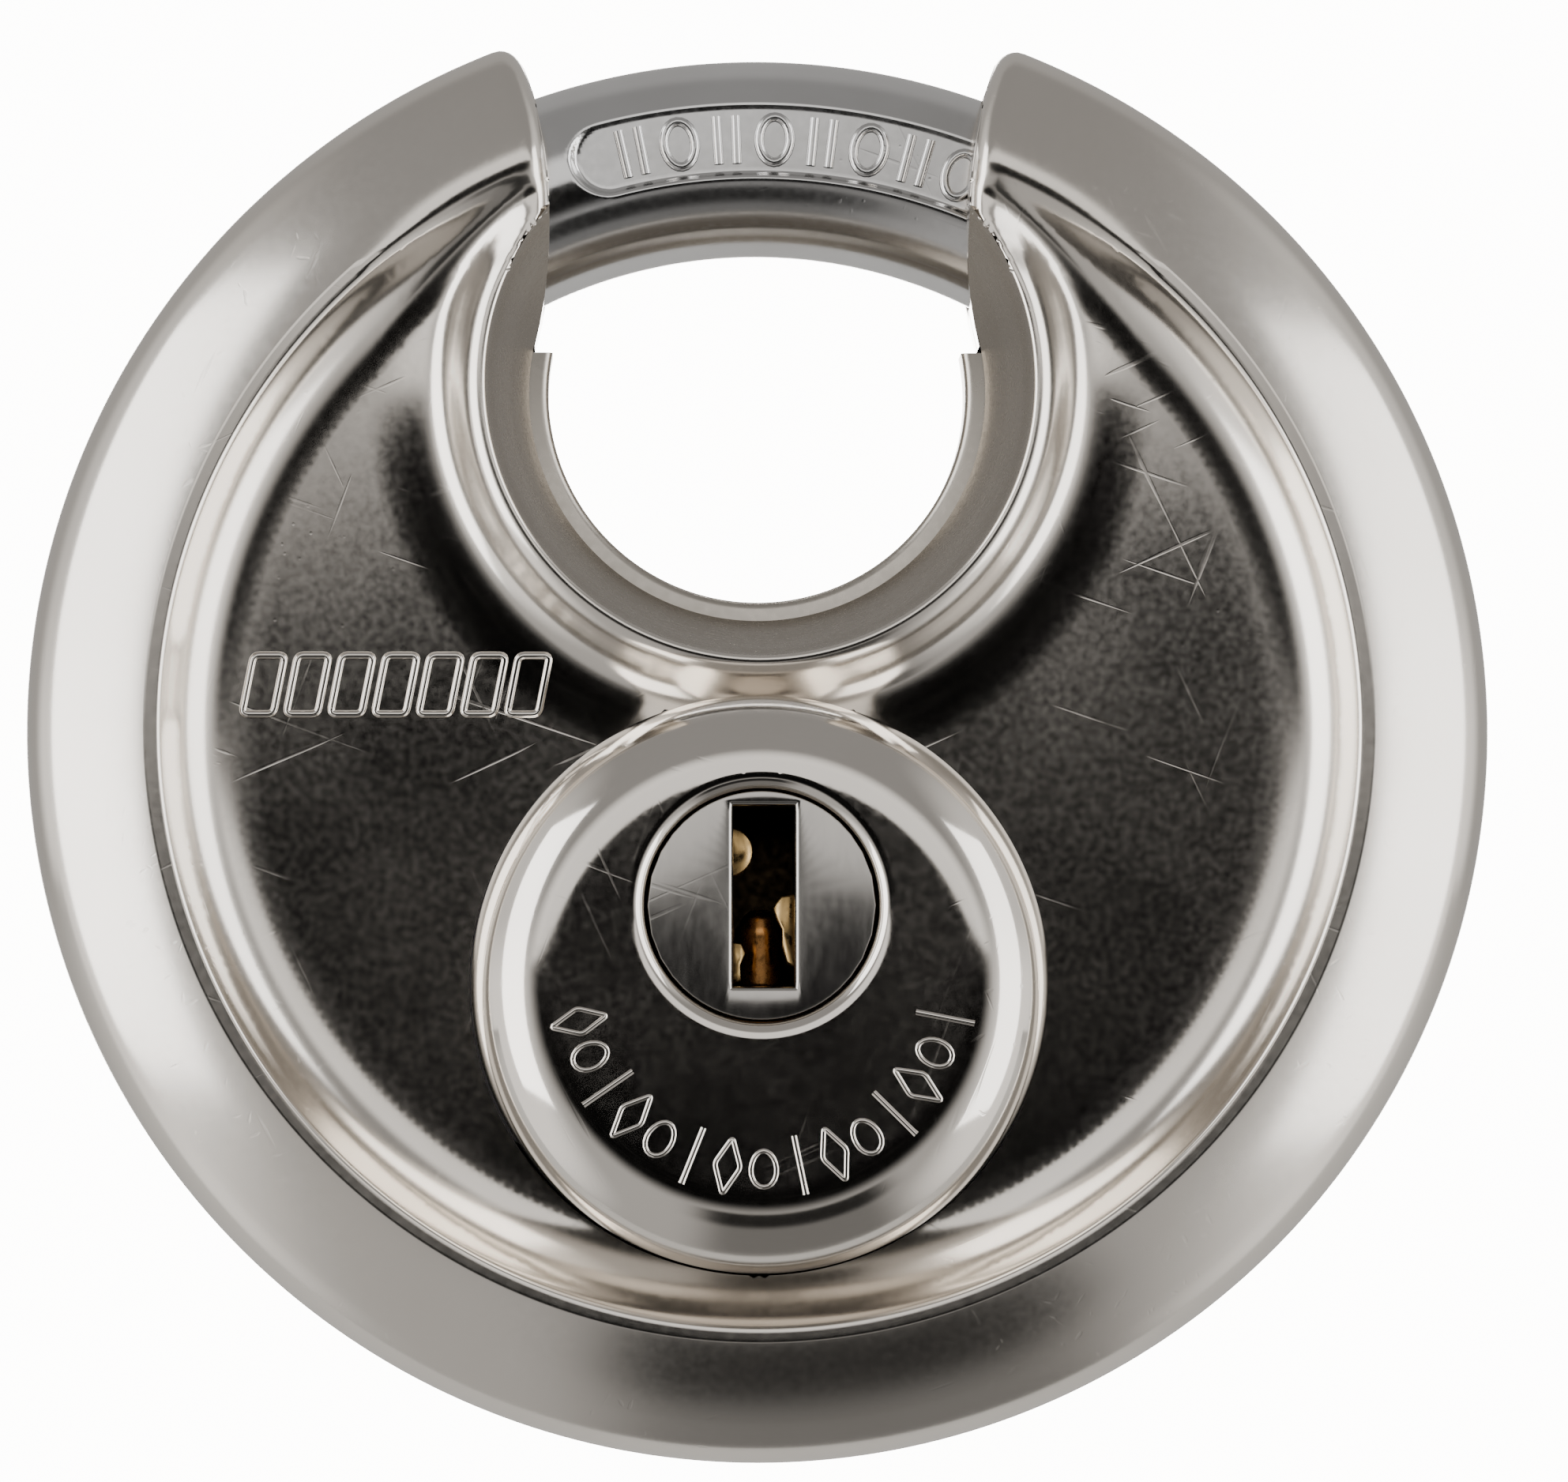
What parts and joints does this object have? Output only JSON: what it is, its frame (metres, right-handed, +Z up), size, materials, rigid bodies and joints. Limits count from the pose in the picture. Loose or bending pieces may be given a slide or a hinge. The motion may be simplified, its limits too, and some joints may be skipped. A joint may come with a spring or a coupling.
{
  "type": "disc padlock",
  "caption": "Round steel disc padlock with a shrouded swinging shackle, a hasp hole and an off-centre key cylinder.",
  "frame": {"origin": "where a staple bears on the inside of the shackle's crown, in the plane of the seam between the two shells", "axes": "the keyed face looks along -Y and the flat pad on the back along +Y; +Z is up as it hangs; +X is to the right seen from the keyed face"},
  "size_m": [0.07, 0.0245, 0.0679],
  "materials": {
    "polished_steel": "polished stainless with fine brushing and handling scratches",
    "chromed_steel": "chromed hardened bar, lightly worn",
    "brass": "machined brass",
    "cast_zinc": "bare die casting, dull",
    "hardened_steel": "dark hardened strip",
    "spring_steel": "drawn wire"
  },
  "bodies": {
    "lock_case": {"front_shell": "polished_steel", "rear_shell": "polished_steel", "cylinder_cap": "polished_steel", "throat_ring": "polished_steel", "lock_body": "cast_zinc", "cylinder_housing": "brass", "chamber_strip": "brass", "pin_spring_1": "spring_steel", "pin_spring_2": "spring_steel", "pin_spring_3": "spring_steel", "pin_spring_4": "spring_steel"},
    "shackle": {"shackle": "chromed_steel", "swing_arm": "hardened_steel", "arm_rivet_1": "hardened_steel", "arm_rivet_2": "hardened_steel"},
    "plug": {"plug": "brass", "plug_face": "polished_steel", "crank": "hardened_steel", "crank_pin": "chromed_steel", "crank_screw": "spring_steel"},
    "key_pin_1": {"key_pin_1": "brass"},
    "driver_pin_1": {"driver_pin_1": "chromed_steel"},
    "key_pin_2": {"key_pin_2": "brass"},
    "driver_pin_2": {"driver_pin_2": "chromed_steel"},
    "key_pin_3": {"key_pin_3": "brass"},
    "driver_pin_3": {"driver_pin_3": "chromed_steel"},
    "key_pin_4": {"key_pin_4": "brass"},
    "driver_pin_4": {"driver_pin_4": "chromed_steel"}
  },
  "joints": [
    {"name": "shackle_swing", "type": "hinge", "parent": "lock_case", "child": "shackle", "pos_m": [0, 0, -0.0232], "axis": [0, 1, 0], "range_deg": [0, 71]},
    {"name": "plug_turn", "type": "hinge", "parent": "lock_case", "child": "plug", "pos_m": [0, 0, -0.03185], "axis": [0, 1, 0], "range_deg": [0, 142]},
    {"name": "key_pin_1_slide", "type": "slide", "parent": "plug", "child": "key_pin_1", "axis": [0, 0, 1], "range_m": [-0.0014, 0]},
    {"name": "driver_pin_1_slide", "type": "slide", "parent": "lock_case", "child": "driver_pin_1", "axis": [0, 0, 1], "range_m": [-0.0014, 0], "stiffness_N_per_m": 40, "springref_m": 0.001, "deforming": ["pin_spring_1"]},
    {"name": "key_pin_2_slide", "type": "slide", "parent": "plug", "child": "key_pin_2", "axis": [0, 0, 1], "range_m": [-0.0011, 0]},
    {"name": "driver_pin_2_slide", "type": "slide", "parent": "lock_case", "child": "driver_pin_2", "axis": [0, 0, 1], "range_m": [-0.0014, 0], "stiffness_N_per_m": 40, "springref_m": 0.001, "deforming": ["pin_spring_2"]},
    {"name": "key_pin_3_slide", "type": "slide", "parent": "plug", "child": "key_pin_3", "axis": [0, 0, 1], "range_m": [-0.0013, 0]},
    {"name": "driver_pin_3_slide", "type": "slide", "parent": "lock_case", "child": "driver_pin_3", "axis": [0, 0, 1], "range_m": [-0.0014, 0], "stiffness_N_per_m": 40, "springref_m": 0.001, "deforming": ["pin_spring_3"]},
    {"name": "key_pin_4_slide", "type": "slide", "parent": "plug", "child": "key_pin_4", "axis": [0, 0, 1], "range_m": [-0.001, 0]},
    {"name": "driver_pin_4_slide", "type": "slide", "parent": "lock_case", "child": "driver_pin_4", "axis": [0, 0, 1], "range_m": [-0.0014, 0], "stiffness_N_per_m": 40, "springref_m": 0.001, "deforming": ["pin_spring_4"]}
  ],
  "couplings": [
    {"joint": "plug_turn", "follows": "shackle_swing", "ratio": 2},
    {"joint": "key_pin_2_slide", "follows": "key_pin_1_slide", "ratio": 0.78571},
    {"joint": "driver_pin_2_slide", "follows": "driver_pin_1_slide", "ratio": 1},
    {"joint": "key_pin_3_slide", "follows": "key_pin_1_slide", "ratio": 0.92857},
    {"joint": "driver_pin_3_slide", "follows": "driver_pin_1_slide", "ratio": 1},
    {"joint": "key_pin_4_slide", "follows": "key_pin_1_slide", "ratio": 0.71429},
    {"joint": "driver_pin_4_slide", "follows": "driver_pin_1_slide", "ratio": 1}
  ]
}
